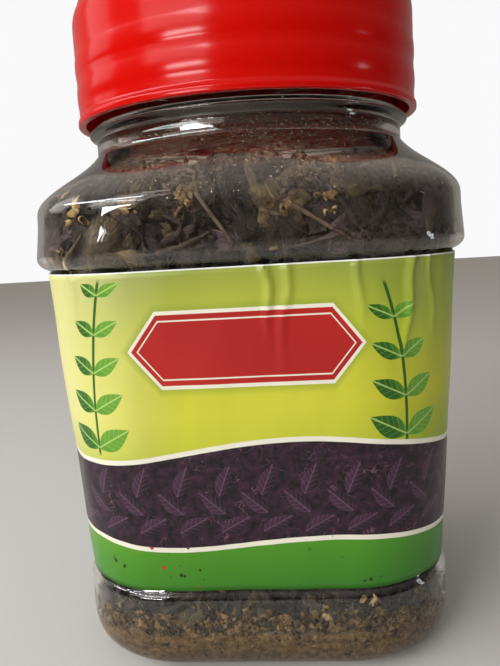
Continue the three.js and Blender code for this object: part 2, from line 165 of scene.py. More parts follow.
soft_light("window", (-0.34, -0.56, 0.212), (0.27, 0.026), 1.1)
soft_light("curtain", (-0.42, -0.52, 0.49), (0.55, 0.34), 1.7, (1, 0.97, 0.93))
soft_light("shelf_strip", (-0.46, -0.3, 0.5), (0.9, 0.03), 2.7, (0.9, 0.95, 1))
soft_light("left_wall", (-0.62, 0.1, 0.42), (0.3, 0.36), 0.4)
soft_light("side_window", (0.6, -0.1, 0.1), (0.05, 0.17), 0.2, (0.85, 0.93, 1), (0, 0, 0.1))


# The jar: one blown piece of clear plastic, a square with round corners that turns into a round
# threaded neck. Its walls are just under a millimetre and its neck is thicker.
_, JAR_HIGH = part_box("jar")
RIM_TOP = JAR_HIGH.z
SHOULDER_HALF = JAR_HIGH.x
WALL = 0.9 * MM
NECK_WALL = 1.7 * MM
FOOT_INNER = 30 * MM
FOOT_OUTER = 36 * MM
BASE_RECESS = 3.2 * MM
HEEL_TOP = 10 * MM
BASE_HALF = 44 * MM
PANEL_BOTTOM = 20.2 * MM
PANEL_BOTTOM_HALF = 42.8 * MM
PANEL_TOP = 92.6 * MM
PANEL_TOP_HALF = 46.6 * MM
SHOULDER_BOTTOM = 95.6 * MM
SHOULDER_TOP = 105 * MM
SHOULDER_ARCH = 110.5 * MM
FLARE_HALF = 43 * MM
FLARE_Z = 114.5 * MM
NECK_BOTTOM = 119.6 * MM
NECK_RADIUS = 38.9 * MM
BEAD_RADIUS = 40.6 * MM
BEAD_BOTTOM = 123.4 * MM
BEAD_TOP = 126 * MM
BODY_ROUNDNESS = 0.52
SHOULDER_ROUNDNESS = 0.6
PITCH = 5 * MM
THREAD_TURNS = 1.25
THREAD_START = 137 * MM
THREAD_PROUD = 1.5 * MM
THREAD_ROOT = 1.2 * MM
THREAD_CREST = 0.6 * MM
ROUND_STEPS = 192


def eased(value, low, high):
    share = min(max((value - low) / (high - low), 0), 1)
    return share * share * (3 - 2 * share)


def roundness(z):
    share = BODY_ROUNDNESS + (SHOULDER_ROUNDNESS - BODY_ROUNDNESS) * eased(z, PANEL_TOP, SHOULDER_TOP)
    return share + (1 - share) * eased(z, SHOULDER_TOP, NECK_BOTTOM - 1 * MM)


def square_radius(half, share, angle):
    turned = angle % (pi / 2)
    a = min(turned, pi / 2 - turned)
    corner = share * half
    centre = half - corner
    if a <= atan2(centre, half):
        return half / cos(a)
    along = centre * (cos(a) + sin(a))
    return along + sqrt(along * along - 2 * centre * centre + corner * corner)


def bend(start, pull, end, steps=7):
    start, pull, end = Vector(start), Vector(pull), Vector(end)
    shares = [k / steps for k in range(1, steps + 1)]
    return [start.lerp(pull, s).lerp(pull.lerp(end, s), s) for s in shares]


def swell(start, first, second, end, steps=14):
    points = [Vector(p) for p in (start, first, second, end)]
    made = []
    for k in range(1, steps + 1):
        s = k / steps
        legs = [points[i].lerp(points[i + 1], s) for i in range(3)]
        made.append(legs[0].lerp(legs[1], s).lerp(legs[1].lerp(legs[2], s), s))
    return made


def straight(start, end, steps):
    start, end = Vector(start), Vector(end)
    return [start.lerp(end, k / steps) for k in range(1, steps + 1)]


def outer_profile():
    path = [Vector((0, BASE_RECESS))]
    path += bend(path[-1], (FOOT_INNER - 8 * MM, BASE_RECESS), (FOOT_INNER, 0.3 * MM), 10)
    path += bend(path[-1], (FOOT_INNER + 1 * MM, 0), (FOOT_INNER + 2 * MM, 0), 3)
    path += straight(path[-1], (FOOT_OUTER, 0), 2)
    path += bend(path[-1], (BASE_HALF, 1 * MM), (BASE_HALF, HEEL_TOP), 12)
    path += straight(path[-1], (BASE_HALF, PANEL_BOTTOM - 2.4 * MM), 3)
    path += bend(path[-1], (BASE_HALF, PANEL_BOTTOM - 0.8 * MM), (PANEL_BOTTOM_HALF, PANEL_BOTTOM), 6)
    path += straight(path[-1], (PANEL_TOP_HALF, PANEL_TOP), 12)
    path += bend(path[-1], (SHOULDER_HALF, PANEL_TOP + 1 * MM), (SHOULDER_HALF, SHOULDER_BOTTOM), 8)
    path += straight(path[-1], (SHOULDER_HALF, SHOULDER_TOP), 4)
    arch, flare = (SHOULDER_HALF, SHOULDER_ARCH), (FLARE_HALF, FLARE_Z)
    path += swell(path[-1], arch, flare, (NECK_RADIUS, NECK_BOTTOM), 18)
    path += straight(path[-1], (NECK_RADIUS, BEAD_BOTTOM), 4)
    bead_pull = (2 * BEAD_RADIUS - NECK_RADIUS, (BEAD_BOTTOM + BEAD_TOP) / 2)
    path += bend(path[-1], bead_pull, (NECK_RADIUS, BEAD_TOP), 10)
    path += straight(path[-1], (NECK_RADIUS, RIM_TOP - 0.6 * MM), 72)
    path += bend(path[-1], (NECK_RADIUS, RIM_TOP), (NECK_RADIUS - 0.6 * MM, RIM_TOP), 3)
    return path


def inner_profile(gap=0.0):
    inset = WALL + gap
    neck = NECK_RADIUS - NECK_WALL - gap
    shoulder = SHOULDER_HALF - inset
    base = BASE_HALF - inset
    path = [Vector((neck + 0.4 * MM, RIM_TOP)), Vector((neck, RIM_TOP - 0.4 * MM))]
    path += straight(path[-1], (neck, NECK_BOTTOM - 0.4 * MM), 8)
    arch = (shoulder, SHOULDER_ARCH - 0.5 * MM - gap)
    flare = (FLARE_HALF - inset, FLARE_Z - WALL)
    path += swell(path[-1], flare, arch, (shoulder, SHOULDER_TOP - 0.6 * MM), 18)
    path += straight(path[-1], (shoulder, SHOULDER_BOTTOM + 0.4 * MM), 4)
    panel = (PANEL_TOP_HALF - inset, PANEL_TOP + 0.4 * MM)
    path += bend(path[-1], (shoulder, PANEL_TOP + 1.4 * MM), panel, 8)
    path += straight(path[-1], (PANEL_BOTTOM_HALF - inset, PANEL_BOTTOM - 0.3 * MM), 12)
    path += bend(path[-1], (base, PANEL_BOTTOM - 1.2 * MM), (base, PANEL_BOTTOM - 3 * MM), 6)
    path += straight(path[-1], (base, HEEL_TOP), 3)
    path += bend(path[-1], (base, 1.6 * MM + inset), (FOOT_OUTER - 0.8 * MM, inset), 12)
    path += straight(path[-1], (FOOT_INNER + 0.6 * MM, inset), 2)
    centre = (0, BASE_RECESS + inset)
    path += bend(path[-1], (FOOT_INNER - 8 * MM, BASE_RECESS + inset), centre, 10)
    return path


def spun(profile, steps=ROUND_STEPS, closed=False):
    """A profile of radii and heights spun round the jar's axis."""
    made = bmesh.new()
    rail = [made.verts.new((p[0], 0, p[1])) for p in profile]
    edges = [made.edges.new(pair) for pair in zip(rail, rail[1:])]
    if closed:
        edges.append(made.edges.new((rail[-1], rail[0])))
    turn = {"cent": (0, 0, 0), "axis": (0, 0, 1), "angle": 2 * pi, "steps": steps}
    bmesh.ops.spin(made, geom=rail + edges, use_merge=True, **turn)
    bmesh.ops.remove_doubles(made, verts=made.verts[:], dist=1e-7)
    bmesh.ops.recalc_face_normals(made, faces=made.faces[:])
    return made


CORNER_PULL = 0.4


def squared(made):
    """Squares a spun shape as the jar is square, with more of its steps at the corners."""
    for vert in made.verts:
        x, y, z = vert.co
        half = hypot(x, y)
        if half > 1e-6:
            angle = atan2(y, x)
            angle += CORNER_PULL * sin(4 * angle) / 4
            r = square_radius(half, roundness(z), angle)
            vert.co = (r * cos(angle), r * sin(angle), z)
    return made


def ridge(angle, z, start):
    """How far a thread's ridge stands out at a place on its cylinder, from 0 to 1."""
    turn = angle / (2 * pi) % 1
    most = 0
    for whole in (0, 1):
        along = turn + whole
        fade = eased(along, -0.01, 0.06) * eased(THREAD_TURNS - along, -0.01, 0.06)
        off = abs(z - start - PITCH * along)
        most = max(most, fade * eased(THREAD_ROOT - off, 0, THREAD_ROOT - THREAD_CREST))
    return most


def piece(name, made, material, body, node, smooth=True):
    """A finished piece of the jar, riding on its body."""
    data = bpy.data.meshes.new(name)
    made.to_mesh(data)
    made.free()
    for face in data.polygons:
        face.use_smooth = smooth
    data.materials.append(material)
    thing = bpy.data.objects.new(name, data)
    bpy.context.scene.collection.objects.link(thing)
    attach(thing, body)
    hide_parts(node)


WOBBLES_PER_METRE = 70
WOBBLE_DEPTH = 0.4 * MM


def clear_plastic():
    material, shader = principled("clear_plastic", (0.94, 0.91, 0.87), Roughness=0.03, IOR=1.5)
    shader.inputs["Transmission Weight"].default_value = 1
    tree = material.node_tree
    place = tree.nodes.new("ShaderNodeTexCoord")
    wobble = tree.nodes.new("ShaderNodeTexNoise")
    wobble.inputs["Scale"].default_value = WOBBLES_PER_METRE
    wobble.inputs["Detail"].default_value = 1
    bump = tree.nodes.new("ShaderNodeBump")
    bump.inputs["Strength"].default_value = 0.12
    bump.inputs["Distance"].default_value = WOBBLE_DEPTH
    tree.links.new(place.outputs["Object"], wobble.inputs["Vector"])
    tree.links.new(wobble.outputs["Fac"], bump.inputs["Height"])
    tree.links.new(bump.outputs["Normal"], shader.inputs["Normal"])
    ray = tree.nodes.new("ShaderNodeLightPath")
    through = tree.nodes.new("ShaderNodeBsdfTransparent")
    through.inputs["Color"].default_value = (0.93, 0.92, 0.9, 1)
    mix = tree.nodes.new("ShaderNodeMixShader")
    tree.links.new(ray.outputs["Is Shadow Ray"], mix.inputs["Fac"])
    tree.links.new(shader.outputs["BSDF"], mix.inputs[1])
    tree.links.new(through.outputs["BSDF"], mix.inputs[2])
    tree.links.new(mix.outputs["Shader"], tree.nodes["Material Output"].inputs["Surface"])
    return material


jar_mesh = squared(spun(outer_profile() + inner_profile()))
for vert in jar_mesh.verts:
    if vert.co.z > THREAD_START - 2 * PITCH and vert.co.xy.length > NECK_RADIUS - 0.01 * MM:
        proud = THREAD_PROUD * ridge(atan2(vert.co.y, vert.co.x), vert.co.z, THREAD_START)
        vert.co.xy *= 1 + proud / NECK_RADIUS
piece("clear_jar", jar_mesh, clear_plastic(), "jar", "jar")


# The lid: one moulding of glossy red plastic. Its skirt has a lip and two soft bands, its edge is
# rounded over, and the thread that grips the neck is inside it.
LID_LOW, LID_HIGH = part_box("lid")
LIP_RADIUS = LID_HIGH.x
LID_RADIUS = LIP_RADIUS - 0.5 * MM
LID_BORE = 41.1 * MM
LID_TOP_THICK = 1.6 * MM
LID_EDGE = 7 * MM
LIP_HEIGHT = 1.6 * MM
PANEL_RADIUS = 33 * MM
PANEL_SUNK = 0.6 * MM
BAND_PLACES = (133.6 * MM, 140.4 * MM)
BAND_HALF = 2.6 * MM
BAND_PROUD = 0.2 * MM
LID_THREAD_START = THREAD_START - 1.9 * MM


def lid_profile():
    low, high = LID_LOW.z, LID_HIGH.z
    inside = high - LID_TOP_THICK
    path = [Vector((0, inside))]
    path += straight(path[-1], (LID_BORE - 0.4 * MM, inside), 6)
    path += bend(path[-1], (LID_BORE, inside), (LID_BORE, inside - 0.4 * MM), 3)
    path += straight(path[-1], (LID_BORE, low + 0.4 * MM), 72)
    path += [Vector((LID_BORE + 0.3 * MM, low))]
    path += straight(path[-1], (LIP_RADIUS - 0.4 * MM, low), 2)
    path += bend(path[-1], (LIP_RADIUS, low), (LIP_RADIUS, low + 0.4 * MM), 4)
    path += straight(path[-1], (LIP_RADIUS, low + LIP_HEIGHT - 0.6 * MM), 2)
    path += bend(path[-1], (LIP_RADIUS, low + LIP_HEIGHT), (LID_RADIUS, low + LIP_HEIGHT), 4)
    for z in BAND_PLACES:
        path += straight(path[-1], (LID_RADIUS, z - BAND_HALF), 3)
        path += bend(path[-1], (LID_RADIUS + 2 * BAND_PROUD, z), (LID_RADIUS, z + BAND_HALF), 12)
    path += straight(path[-1], (LID_RADIUS, high - LID_EDGE), 4)
    path += bend(path[-1], (LID_RADIUS, high - 0.6 * MM), (LID_RADIUS - LID_EDGE, high), 14)
    path += straight(path[-1], (PANEL_RADIUS, high), 2)
    path += bend(path[-1], (PANEL_RADIUS - 0.5 * MM, high), (PANEL_RADIUS - 1 * MM, high - PANEL_SUNK), 4)
    path += straight(path[-1], (0, high - PANEL_SUNK), 6)
    return path


def red_plastic():
    material, shader = principled("red_plastic", (0.6, 0.003, 0.001), Roughness=0.17, IOR=1.45)
    shader.inputs["Specular IOR Level"].default_value = 0.27
    return material


lid_mesh = spun(lid_profile())
for vert in lid_mesh.verts:
    if vert.co.z < LID_HIGH.z - 3 * MM and abs(vert.co.xy.length - LID_BORE) < 0.02 * MM:
        proud = THREAD_PROUD * ridge(atan2(vert.co.y, vert.co.x), vert.co.z, LID_THREAD_START)
        vert.co.xy *= 1 - proud / LID_BORE
piece("red_lid", lid_mesh, red_plastic(), "lid", "lid")


# The liner: a disc cut from white foam sheet and fitted up inside the lid. It seals the jar where the
# lid presses it on the rim.
LINER_LOW, LINER_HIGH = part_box("liner")
LINER_EDGE = 0.3 * MM


def liner_profile():
    low, high, radius = LINER_LOW.z, LINER_HIGH.z, LINER_HIGH.x
    flat = radius - LINER_EDGE
    path = [Vector((0, low))]
    path += straight(path[-1], (flat, low), 8)
    path += bend(path[-1], (radius, low), (radius, low + LINER_EDGE), 3)
    path += straight(path[-1], (radius, high - LINER_EDGE), 1)
    path += bend(path[-1], (radius, high), (flat, high), 3)
    path += straight(path[-1], (0, high), 8)
    return path


white_foam, _ = principled("white_foam", (0.85, 0.85, 0.83), Roughness=0.8)
piece("foam_liner", spun(liner_profile()), white_foam, "seal", "liner")


# The label: one sheet of printed plastic film wrapped round the panel, glued where its end laps over
# at the back. It is a little loose, so it waves, and it has puckered down from its top edge.
LABEL_LOW, LABEL_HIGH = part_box("label")
LABEL_HEIGHT = LABEL_HIGH.z - LABEL_LOW.z
FILM_OFF = 0.12 * MM
FILM_THICK = 0.14 * MM
LABEL_STEPS = 640
LABEL_ROWS = 48
LAP_WIDTH = 9 * MM
LAP_STEP = 0.2 * MM
OUTLINE_STEPS = 720
PUCKERS = (
    {"x": 4.2, "lean": 0.05, "reach": 20, "high": 1.3, "wide": 0.9},
    {"x": 8.6, "lean": -0.08, "reach": 26, "high": 1, "wide": 1.1},
    {"x": 22.5, "lean": 0.04, "reach": 17, "high": 1, "wide": 1.0},
    {"x": 34.0, "lean": -0.1, "reach": 30, "high": 1.5, "wide": 1.3},
    {"x": 38.0, "lean": 0.12, "reach": 22, "high": 1, "wide": 1.0},
    {"x": -36.0, "lean": 0.06, "reach": 14, "high": 0.77, "wide": 1.2},
    {"x": 71.0, "lean": -0.05, "reach": 24, "high": 1.2, "wide": 1.2},
    {"x": -78.0, "lean": 0.05, "reach": 20, "high": 1, "wide": 1.1},
    {"x": 128.0, "lean": 0.03, "reach": 26, "high": 1, "wide": 1.2},
)


def panel_half(z):
    share = (z - PANEL_BOTTOM) / (PANEL_TOP - PANEL_BOTTOM)
    return PANEL_BOTTOM_HALF + (PANEL_TOP_HALF - PANEL_BOTTOM_HALF) * share


mid_half = panel_half((LABEL_LOW.z + LABEL_HIGH.z) / 2)
turns = [k * 2 * pi / OUTLINE_STEPS - pi / 2 for k in range(-OUTLINE_STEPS // 2, OUTLINE_STEPS // 2 + 1)]
rim_points = [square_radius(mid_half, BODY_ROUNDNESS, a) * Vector((cos(a), sin(a))) for a in turns]
run = [0.0]
for before, after in zip(rim_points, rim_points[1:]):
    run.append(run[-1] + (after - before).length)
LABEL_LENGTH = run[-1]


def round_label(x, y):
    """How far round the label a place is, from the front's middle, to the right, in metres."""
    turned = (atan2(y, x) + pi / 2 + pi) % (2 * pi)
    spot = turned / (2 * pi) * OUTLINE_STEPS
    low = min(int(spot), OUTLINE_STEPS - 1)
    return run[low] + (run[low + 1] - run[low]) * (spot - low) - LABEL_LENGTH / 2


def film_wave(x, z):
    """How far the film stands off the panel at a place, in metres."""
    down = (LABEL_HIGH.z - z) / MM
    across = x / MM
    slow = noise.noise(Vector((across / 13 + down / 40, down / 34, 3.1)))
    quick = noise.noise(Vector((across / 4.5 + down / 25, down / 14, 7.7)))
    wander = 1.6 * noise.noise(Vector((across / 30, down / 7, 1.7)))
    off = 0.25 + 0.34 * slow + 0.12 * quick
    for fold in PUCKERS:
        aside = (across - fold["x"] - fold["lean"] * down + wander) / fold["wide"]
        fading = eased(fold["reach"] - down, 0, fold["reach"])
        off += fold["high"] * fading * (1 / (1 + aside**2) ** 2 - 0.35 / (1 + (aside / 2.5) ** 2))
    return max(off, 0) * MM


film_low = (panel_half(LABEL_LOW.z) + FILM_OFF, LABEL_LOW.z)
film_high = (panel_half(LABEL_HIGH.z) + FILM_OFF, LABEL_HIGH.z)
film_path = [Vector(film_low)]
film_path += straight(film_path[-1], (film_low[0] + FILM_THICK, film_low[1]), 1)
film_path += straight(film_path[-1], (film_high[0] + FILM_THICK, film_high[1]), LABEL_ROWS)
film_path += straight(film_path[-1], film_high, 1)
film_path += straight(film_path[-1], film_low, LABEL_ROWS)[:-1]
film = squared(spun(film_path, LABEL_STEPS, closed=True))
print_map = film.loops.layers.uv.new("print")
for face in film.faces:
    middle = face.calc_center_median()
    about = round_label(middle.x, middle.y)
    for loop in face.loops:
        spot = round_label(loop.vert.co.x, loop.vert.co.y)
        if abs(spot - about) > LABEL_LENGTH / 2:
            spot += LABEL_LENGTH if about > 0 else -LABEL_LENGTH
        height = (loop.vert.co.z - LABEL_LOW.z) / LABEL_HEIGHT
        loop[print_map].uv = (spot / LABEL_LENGTH + 0.5, height)
for vert in film.verts:
    spot = round_label(vert.co.x, vert.co.y)
    lap = eased(LABEL_LENGTH / 2 - LAP_WIDTH - spot, -0.3 * MM, 0.3 * MM)
    off = film_wave(spot, vert.co.z) + (1 - lap) * LAP_STEP
    vert.co.xy += vert.co.xy.normalized() * off


class Ink:
    """A number that varies over the print, so that the print's formulas read as sums."""

    tree = None

    def __init__(self, socket):
        self.socket = socket

    def do(self, operation, *others):
        node = Ink.tree.nodes.new("ShaderNodeMath")
        node.operation = operation
        for slot, value in zip(node.inputs, (self, *others)):
            if isinstance(value, Ink):
                Ink.tree.links.new(value.socket, slot)
            else:
                slot.default_value = value
        return Ink(node.outputs[0])

    def __add__(self, other):
        return self.do("ADD", other)

    def __sub__(self, other):
        return self.do("SUBTRACT", other)

    def __mul__(self, other):
        return self.do("MULTIPLY", other)

    def __truediv__(self, other):
        return self.do("DIVIDE", other)

    def sine(self):
        return self.do("SINE")

    def size(self):
        return self.do("ABSOLUTE")

    def least(self, other):
        return self.do("MINIMUM", other)

    def most(self, other):
        return self.do("MAXIMUM", other)

    def power(self, exponent):
        return self.do("POWER", exponent)

    def repeat(self, span):
        return self.do("FLOORED_MODULO", span)

    def edge(self, low=-0.06, high=0.06):
        """0 below the low value and 1 above the high one."""
        node = Ink.tree.nodes.new("ShaderNodeMapRange")
        node.inputs["From Min"].default_value = low
        node.inputs["From Max"].default_value = high
        Ink.tree.links.new(self.socket, node.inputs["Value"])
        return Ink(node.outputs["Result"])

    def ramp(self, stops):
        node = Ink.tree.nodes.new("ShaderNodeValToRGB")
        keys = node.color_ramp.elements
        while len(keys) < len(stops):
            keys.new(0.5)
        for key, (place, color) in zip(keys, stops):
            key.position = place
            key.color = (*color, 1)
        Ink.tree.links.new(self.socket, node.inputs["Fac"])
        return node.outputs["Color"]


def overprint(under, color, where):
    """Lays a colour over the print where the mask is 1."""
    node = Ink.tree.nodes.new("ShaderNodeMix")
    node.data_type = "RGBA"
    Ink.tree.links.new(where.socket, node.inputs["Factor"])
    for slot, value in zip((node.inputs[6], node.inputs[7]), (under, color)):
        if isinstance(value, tuple):
            slot.default_value = (*value, 1)
        else:
            Ink.tree.links.new(value, slot)
    return node.outputs[2]


def turned_by(x, y, angle):
    return x * cos(angle) + y * sin(angle), y * cos(angle) - x * sin(angle)


def leaf_shape(along, aside, length, width):
    """How far inside a leaf's outline a place is, with its stem end at 0 and its tip at length."""
    share = (along / length).most(0).least(1)
    half = (share.power(0.8) * pi).sine() * (width / 2)
    return half - aside.size() - 0.07


def noise_over(place, scale, detail=2.0, roughness=0.5):
    """Noise from 0 to 1 over a place's coordinates."""
    node = Ink.tree.nodes.new("ShaderNodeTexNoise")
    node.inputs["Scale"].default_value = scale
    node.inputs["Detail"].default_value = detail
    node.inputs["Roughness"].default_value = roughness
    Ink.tree.links.new(place, node.inputs["Vector"])
    return Ink(node.outputs["Fac"])


LEAF_GREENS = ((0.02, 0.11, 0.008), (0.1, 0.3, 0.02), (0.42, 0.6, 0.14))
CREAM = (0.86, 0.82, 0.68)
PRINT_TALL = 71
GROUND = (
    (0.0, (0.035, 0.20, 0.01)),
    (0.14, (0.07, 0.28, 0.012)),
    (0.36, (0.28, 0.42, 0.015)),
    (0.58, (0.54, 0.55, 0.02)),
    (0.8, (0.36, 0.45, 0.03)),
    (1.0, (0.26, 0.32, 0.05)),
)
TURQUOISE = ((0, (0.0, 0.16, 0.22)), (0.5, (0.01, 0.30, 0.30)), (1, (0.05, 0.42, 0.32)))
PLAQUE_RED = ((0, (0.42, 0.006, 0.004)), (1, (0.62, 0.02, 0.01)))
BAND_DARK = ((0.36, (0.002, 0.001, 0.002)), (0.7, (0.045, 0.011, 0.032)))
BAND_LEAF = ((0, (0.006, 0.002, 0.006)), (1, (0.11, 0.042, 0.09)))
SPRIGS = (
    {"stem_x": -34, "foot": 32, "top": 69, "lean": 0.004},
    {"stem_x": 33, "foot": 33, "top": 66, "lean": -0.005},
)
BAND_ROWS = (
    {"shift": 0, "tilt": 0.5, "row": 15.5},
    {"shift": 4.6, "tilt": 2.4, "row": 20.5},
    {"shift": 1.8, "tilt": 1.2, "row": 25.5},
)
BAND_STEP = 9.2
PAIR_STEP = 8.4
SPRIG_LEAF = 10.5
SPRIG_LEAF_WIDE = 5.2


def print_ground(x, y):
    """Green at the foot, yellow above it, and paler to the left."""
    ground = (y / PRINT_TALL + (x * -0.0009)).ramp(GROUND)
    glow = ((x * x * 0.5 + (y - 44) * (y - 44)) / 900).edge(0, 1) * -1 + 1
    ground = overprint(ground, (0.78, 0.72, 0.06), glow * 0.5)
    pale = (x * -1 - 14).edge(0, 32) * (y - 22).edge(0, 18)
    return overprint(ground, (0.86, 0.8, 0.34), pale * 0.85)


def print_sides(under, y, past_front):
    """Turquoise round the sides and the back, behind a cream line."""
    under = overprint(under, CREAM, (past_front + 0.8).edge())
    return overprint(under, (y / PRINT_TALL).ramp(TURQUOISE), past_front.edge())


def print_sprig(under, x, y, stem_x, foot, top, lean):
    """A stem with pairs of leaves that get shorter towards its tip."""
    stem = x - stem_x - (y - foot) * (y - foot) * lean
    height = y - foot
    inside = height.edge(-1, 0) * ((height - (top - foot)).edge(0, 1) - 1).size()
    taper = (height / (top - foot)).most(0).least(1) * -0.5 + 1
    stalk = (stem.size() * -1 + 0.35).edge() * inside
    under = overprint(under, LEAF_GREENS[0], stalk)
    rung = height.repeat(PAIR_STEP) - 1
    along, aside = turned_by(stem.size(), rung, 0.5)
    shape = leaf_shape(along / taper, aside / taper, SPRIG_LEAF, SPRIG_LEAF_WIDE)
    body = shape.edge() * inside
    light = (stem * 0.8 + aside * 0.5).edge(-2, 2)
    veins = ((along - aside.size() * 0.9) * 4.2).sine().edge(0.75, 1) * 0.35
    tone = (light * 0.6 + veins).most(0).least(1)
    shades = tone.ramp([(0, LEAF_GREENS[0]), (0.45, LEAF_GREENS[1]), (1, (0.22, 0.45, 0.05))])
    under = overprint(under, shades, body)
    rib = (aside.size() * -1 + 0.16).edge(-0.1, 0.1) * body
    return overprint(under, LEAF_GREENS[2], rib)


def print_band(under, x, y, flat, within, front):
    """A waved band of dark leaves between cream lines, with rows of small leaves drawn on it."""
    hue = noise_over(flat, 0.55, 5).ramp(BAND_DARK)
    strands = ((noise_over(flat, 0.3) - 0.5).size() * -1 + 0.012).edge(0, 0.008)
    hue = overprint(hue, (0.2, 0.1, 0.13), strands * noise_over(flat, 0.2).edge(0.45, 0.6) * 0.6)
    under = overprint(under, CREAM, (within + 1.1).edge() * front)
    under = overprint(under, hue, within.edge() * front)
    keep = (within - 0.8).edge() * front
    for leaves_in in BAND_ROWS:
        across = (x + leaves_in["shift"]).repeat(BAND_STEP) - BAND_STEP / 2
        along, aside = turned_by(across, y - leaves_in["row"], leaves_in["tilt"])
        leaf = leaf_shape(along + 3.6, aside, 7.6, 3.6).edge() * keep
        tone = ((along - aside.size()) * 5).sine().edge(0.4, 1) * 0.4 + aside.edge(-1.5, 1.5) * 0.5
        under = overprint(under, tone.ramp(BAND_LEAF), leaf)
        under = overprint(under, (0.12, 0.055, 0.095), (aside.size() * -1 + 0.12).edge() * leaf)
    return under


def print_plaque(under, x, y):
    """A bare red plaque with pointed ends, a cream edge and line, and a soft shadow."""
    tall = (y - 54.5).size()
    plaque = (x.size() * -1 - tall * 0.75 + 23).least(tall * -1 + 7.5)
    red = ((x * 0.5 + y) / 12).sine().edge(-1, 1).ramp(PLAQUE_RED)
    under = overprint(under, (0.25, 0.34, 0.02), (plaque + 1.7).edge(-0.9, 0.9) * 0.6)
    under = overprint(under, CREAM, (plaque + 0.8).edge())
    under = overprint(under, red, plaque.edge())
    return overprint(under, CREAM, ((plaque - 1.3).size() * -1 + 0.16).edge())


def print_seeds(under, flat, where):
    """Black dots and a few red ones, strewn in patches."""
    seeds = Ink.tree.nodes.new("ShaderNodeTexVoronoi")
    seeds.inputs["Scale"].default_value = 0.42
    Ink.tree.links.new(flat, seeds.inputs["Vector"])
    pick = Ink.tree.nodes.new("ShaderNodeSeparateColor")
    Ink.tree.links.new(seeds.outputs["Color"], pick.inputs["Color"])
    chance = Ink(pick.outputs["Red"])
    strewn = where * (noise_over(flat, 0.07, 0.0) - 0.5).edge(0, 0.12)
    dots = (Ink(seeds.outputs["Distance"]) * -1 + 0.2).edge(-0.03, 0.03) * strewn
    under = overprint(under, (0.012, 0.01, 0.008), dots * chance.edge(0.35, 0.4))
    return overprint(under, (0.6, 0.03, 0.01), dots * (chance - 0.9).edge(0, 0.01))


def print_panels(under, y, out):
    """Two pale ruled panels at the back, either side of the lap."""
    tall = (y - 36).size() * -1
    panel = (out - 112).edge() * (out * -1 + 152).edge() * (tall + 27).edge()
    under = overprint(under, (0.80, 0.83, 0.66), panel)
    ruled = (y.repeat(5) - 2.5).size() * -1 + 0.18
    inner = (out - 116).edge() * (out * -1 + 148).edge() * (tall + 22).edge()
    return overprint(under, (0.12, 0.30, 0.08), ruled.edge() * inner)


def printed_film():
    material, shader = principled("printed_film", (0.5, 0.6, 0.1), Roughness=0.34, IOR=1.5)
    tree = material.node_tree
    Ink.tree = tree
    uv = tree.nodes.new("ShaderNodeUVMap")
    uv.uv_map = "print"
    split = tree.nodes.new("ShaderNodeSeparateXYZ")
    tree.links.new(uv.outputs["UV"], split.inputs["Vector"])
    x = (Ink(split.outputs["X"]) - 0.5) * (LABEL_LENGTH / MM)
    y = Ink(split.outputs["Y"]) * (LABEL_HEIGHT / MM)
    spot = tree.nodes.new("ShaderNodeCombineXYZ")
    tree.links.new(x.socket, spot.inputs["X"])
    tree.links.new(y.socket, spot.inputs["Y"])
    flat = spot.outputs["Vector"]
    past_front = x.size() - 60 + (y * 0.12).sine() * 2.5
    front = (past_front + 1.5).edge() * -1 + 1
    low_line = (x / 11).sine() * 1.1 + 11.5
    high_line = (x / 15 + 0.9).sine() * 2.4 + 31.5

    color = print_sides(print_ground(x, y), y, past_front)
    for sprig in SPRIGS:
        color = print_sprig(color, x, y, **sprig)
    color = print_band(color, x, y, flat, (y - low_line).least(high_line - y), front)
    color = print_plaque(color, x, y)
    color = print_seeds(color, flat, (low_line - y).edge() * front)
    color = print_panels(color, y, x.size())
    bare_edge = (y - (LABEL_HEIGHT / MM - 0.3)).edge()
    color = overprint(color, (0.85, 0.86, 0.82), bare_edge)
    tree.links.new(color, shader.inputs["Base Color"])
    shader.inputs["Specular IOR Level"].default_value = 0.35
    shader.inputs["Coat Weight"].default_value = 0.12
    shader.inputs["Coat Roughness"].default_value = 0.12
    return material


piece("film_label", film, printed_film(), "jar", "label")


# The leaves: purple basil dried and rubbed into crumpled scraps, packed to just under the neck. A dark
# mass of them fills the middle, and loose scraps lie over it, pressed flat where they meet the wall.
WALL_CLEAR = 0.1 * MM
CORE_INSET = 6 * MM
CORE_STEPS = 160
HEAP_TOP = 110.5 * MM
CRUMB_TOP = 12 * MM
SCRAP_KINDS = 16
SCRAP_THICK = 0.16 * MM
SCRAP_HIGH = HEAP_TOP + 3.5 * MM
LEAF_SHARES = (0.56, 0.24, 0.2)
draw = random.Random(5)
wall_line = [p for p in reversed(inner_profile(WALL_CLEAR)) if p.x > FOOT_OUTER - 1.5 * MM]
wall_heights = [p.y for p in wall_line]


def room_half(z):
    """Half the width of the room inside the jar at a height."""
    k = min(max(bisect_left(wall_heights, z), 1), len(wall_line) - 1)
    low, high = wall_line[k - 1], wall_line[k]
    share = (z - low.y) / max(high.y - low.y, 1e-9)
    return low.x + (high.x - low.x) * min(max(share, 0), 1)


def wall_place(angle, z, inset=0.0):
    r = square_radius(room_half(z) - inset, roundness(z), angle)
    return Vector((r * cos(angle), r * sin(angle), z))


def kept_in(place, inset=0.0):
    """The place, drawn in to the wall if it lies outside it."""
    limit = square_radius(room_half(place.z) - inset, roundness(place.z), atan2(place.y, place.x))
    r = hypot(place.x, place.y)
    if r > limit:
        place.xy *= limit / r
    return place


def heap_top(x, y):
    a, b = x / MM, y / MM
    rise = 1.6 * sin(a / 11 + 0.7) * cos(b / 13 - 0.4) + 0.9 * sin(a / 4.7) * sin(b / 5.3 + 1)
    return HEAP_TOP + rise * MM


